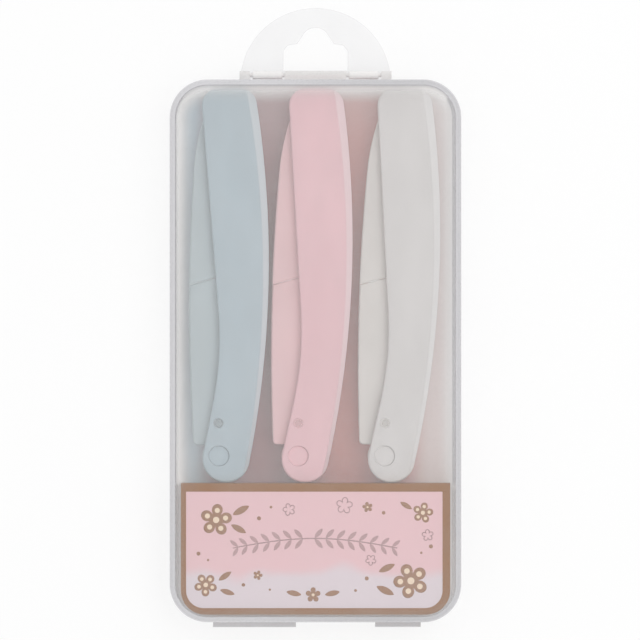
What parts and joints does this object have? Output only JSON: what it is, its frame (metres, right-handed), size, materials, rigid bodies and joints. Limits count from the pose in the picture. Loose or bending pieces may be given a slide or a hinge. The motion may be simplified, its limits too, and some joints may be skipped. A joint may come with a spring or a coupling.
{
  "type": "folding eyebrow razor set",
  "caption": "Flat translucent hang case with a hinged lid, holding pastel folding eyebrow razors side by side above a folded card.",
  "frame": {"origin": "middle of the case's back face, at the centre of the whole set's outline", "axes": "+Z out of the front of the case, +Y towards the hang tab, +X to the viewer's right"},
  "size_m": [0.0728, 0.1548, 0.013],
  "materials": {
    "clear_case": "translucent milky polypropylene",
    "card": "coated print",
    "blue_plastic": "satin",
    "pink_plastic": "satin",
    "white_plastic": "satin",
    "steel": "ground"
  },
  "bodies": {
    "case": {"case_base": "clear_case", "hinge_pin": "clear_case", "insert_card": "card", "blue_handle": "blue_plastic", "blue_pivot_pin": "blue_plastic", "blue_pivot_cap": "blue_plastic", "pink_handle": "pink_plastic", "pink_pivot_pin": "pink_plastic", "pink_pivot_cap": "pink_plastic", "white_handle": "white_plastic", "white_pivot_pin": "white_plastic", "white_pivot_cap": "white_plastic"},
    "lid": {"case_lid": "clear_case"},
    "blue_arm": {"blue_arm": "blue_plastic", "blue_blade_holder": "blue_plastic", "blue_blade": "steel", "blue_skin_guard": "blue_plastic"},
    "pink_arm": {"pink_arm": "pink_plastic", "pink_blade_holder": "pink_plastic", "pink_blade": "steel", "pink_skin_guard": "pink_plastic"},
    "white_arm": {"white_arm": "white_plastic", "white_blade_holder": "white_plastic", "white_blade": "steel", "white_skin_guard": "white_plastic"}
  },
  "joints": [
    {"name": "lid_hinge", "type": "hinge", "parent": "case", "child": "lid", "pos_m": [0, 0.0605, 0.007], "axis": [-1, 0, 0], "range_deg": [0, 150]},
    {"name": "blue_fold", "type": "hinge", "parent": "case", "child": "blue_arm", "pos_m": [-0.0241, -0.0347, 0.0057], "axis": [0, 0, 1], "range_deg": [0, 1.8]},
    {"name": "pink_fold", "type": "hinge", "parent": "case", "child": "pink_arm", "pos_m": [-0.00432, -0.0347, 0.0057], "axis": [0, 0, 1], "range_deg": [0, 0.8]},
    {"name": "white_fold", "type": "hinge", "parent": "case", "child": "white_arm", "pos_m": [0.01725, -0.0347, 0.0057], "axis": [0, 0, 1], "range_deg": [0, 1.8]}
  ]
}
